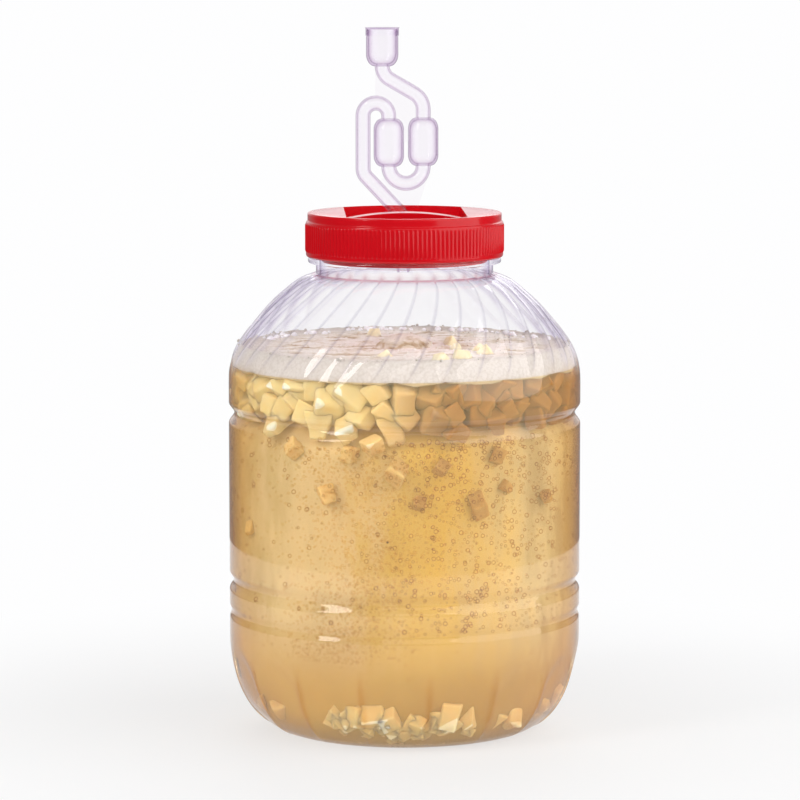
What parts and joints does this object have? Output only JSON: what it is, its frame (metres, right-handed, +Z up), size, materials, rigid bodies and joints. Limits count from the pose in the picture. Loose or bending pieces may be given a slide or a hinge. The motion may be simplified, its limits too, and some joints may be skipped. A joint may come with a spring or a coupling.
{
  "type": "fermentation jar with airlock",
  "caption": "Wide-mouth clear jar of fermenting fruit juice with a fluted shoulder, a ribbed screw lid and an S-shaped bubbler in the lid.",
  "frame": {"origin": "centre of the jar's foot, on the plane that it stands on", "axes": "+Z up along the jar's axis, -Y towards the front, +X to the right seen from the front; the bubbler stands behind the axis on the +Y side"},
  "size_m": [0.2242, 0.2242, 0.4465],
  "materials": {
    "jar_plastic": "clear blown plastic, glossy",
    "lid_plastic": "red moulded plastic, satin gloss",
    "liner_foam": "white pressed foam, matt",
    "grommet_rubber": "dark soft rubber, matt",
    "airlock_plastic": "clear moulded plastic, glossy",
    "must": "hazy amber juice",
    "froth_foam": "white bubbly foam, matt",
    "fruit": "pale cut fruit, moist"
  },
  "bodies": {
    "jar": {"jar_body": "jar_plastic", "must_liquid": "must", "froth": "froth_foam", "fruit_raft_01": "fruit", "fruit_raft_02": "fruit", "fruit_raft_03": "fruit", "fruit_raft_04": "fruit", "fruit_raft_05": "fruit", "fruit_raft_06": "fruit", "fruit_raft_07": "fruit", "fruit_raft_08": "fruit", "fruit_raft_09": "fruit", "fruit_raft_10": "fruit", "fruit_raft_11": "fruit", "fruit_raft_12": "fruit", "fruit_raft_13": "fruit", "fruit_raft_14": "fruit", "fruit_raft_15": "fruit", "fruit_raft_16": "fruit", "fruit_raft_17": "fruit", "fruit_raft_18": "fruit", "fruit_raft_19": "fruit", "fruit_raft_20": "fruit", "fruit_raft_21": "fruit", "fruit_raft_22": "fruit", "fruit_raft_23": "fruit", "fruit_raft_24": "fruit", "fruit_raft_25": "fruit", "fruit_raft_26": "fruit", "fruit_raft_27": "fruit", "fruit_raft_28": "fruit", "fruit_raft_29": "fruit", "fruit_raft_30": "fruit", "fruit_bottom_01": "fruit", "fruit_bottom_02": "fruit", "fruit_bottom_03": "fruit", "fruit_bottom_04": "fruit", "fruit_bottom_05": "fruit", "fruit_bottom_06": "fruit"},
    "liner": {"lid_liner": "liner_foam"},
    "lid": {"lid_cap": "lid_plastic"},
    "grommet": {"grommet": "grommet_rubber"},
    "airlock": {"airlock_body": "airlock_plastic"},
    "dust_cap": {"airlock_dust_cap": "airlock_plastic"}
  },
  "joints": [
    {"name": "lid_lift", "type": "slide", "parent": "jar", "child": "liner", "axis": [0, 0, 1], "range_m": [0, 0.036]},
    {"name": "lid_turn", "type": "hinge", "parent": "liner", "child": "lid", "pos_m": [0, 0, 0.302], "axis": [0, 0, 1], "range_deg": [0, 720]},
    {"name": "airlock_turn", "type": "hinge", "parent": "lid", "child": "grommet", "pos_m": [-0.00087, 0.02499, 0.3], "axis": [0, 0, 1], "continuous": true},
    {"name": "airlock_pull", "type": "slide", "parent": "grommet", "child": "airlock", "axis": [0, 0, 1], "range_m": [0, 0.03]},
    {"name": "dust_cap_pull", "type": "slide", "parent": "airlock", "child": "dust_cap", "axis": [0, 0, 1], "range_m": [0, 0.015]}
  ],
  "couplings": [
    {"joint": "lid_lift", "follows": "lid_turn", "m_per_rad": 0.0028648}
  ]
}
